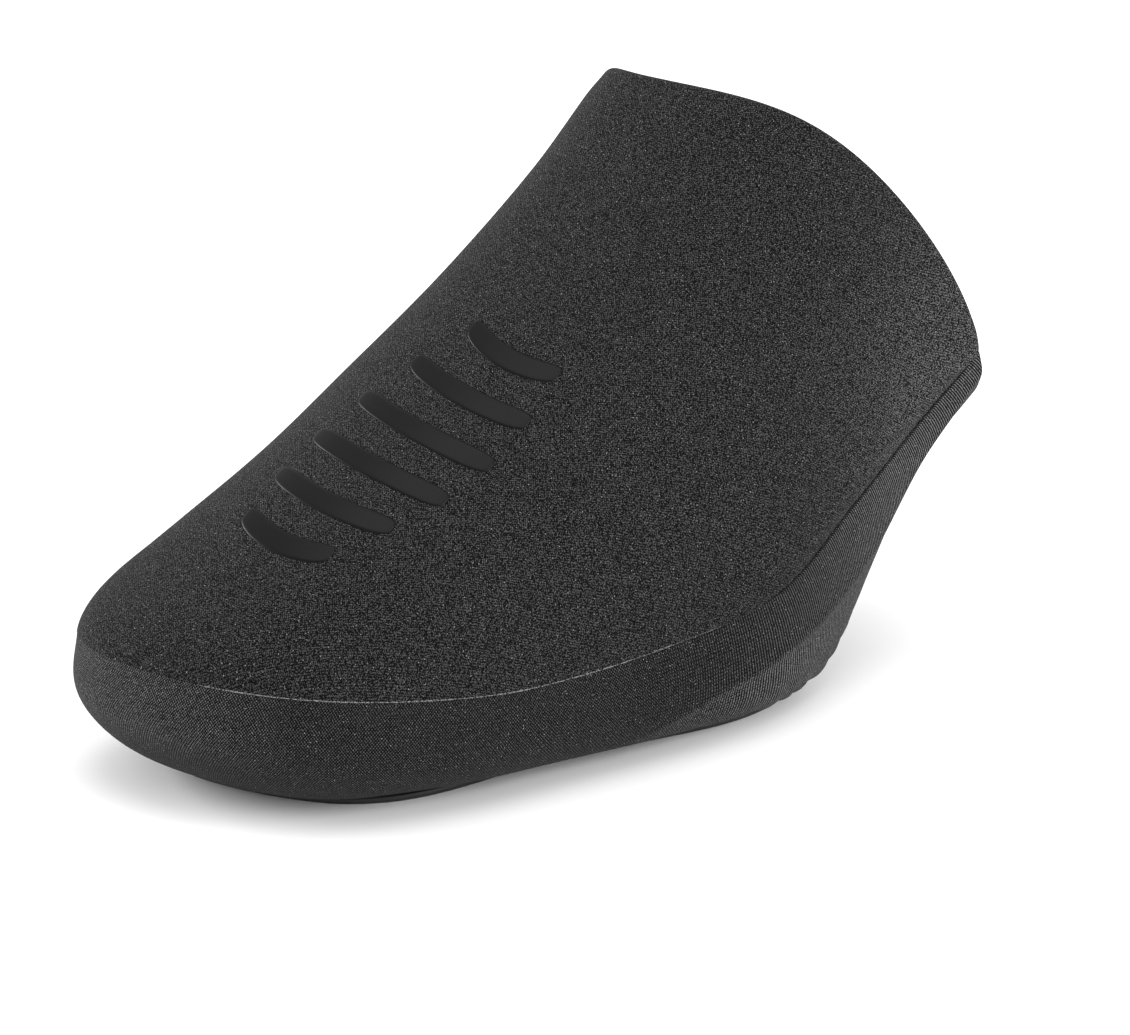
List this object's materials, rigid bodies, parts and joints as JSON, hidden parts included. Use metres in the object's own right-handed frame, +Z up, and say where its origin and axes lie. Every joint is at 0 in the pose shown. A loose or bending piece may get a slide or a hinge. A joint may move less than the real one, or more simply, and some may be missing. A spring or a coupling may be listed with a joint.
{
  "type": "cycling toe cover",
  "caption": "Left stretch cover that pulls over the toe of a cycling shoe against wind and spray, with a side band, an elastic hem and a cleat hole in its sole panel.",
  "frame": {"origin": "middle of the bounding box in plan, on the floor that the cover stands on", "axes": "the toe points along -Y, +Y runs back to the rear opening, +X is the wearer's left, which is the little toe side, and +Z is up"},
  "size_m": [0.1, 0.1648, 0.1074],
  "materials": {
    "panel_cloth": "matt charcoal knit over thin foam",
    "band_cloth": "matt charcoal fine ribbed knit",
    "sole_rubber": "satin black rubbered cloth"
  },
  "bodies": {
    "root": {"upper_panel": "panel_cloth", "side_band": "band_cloth", "sole_panel": "sole_rubber"}
  },
  "joints": []
}
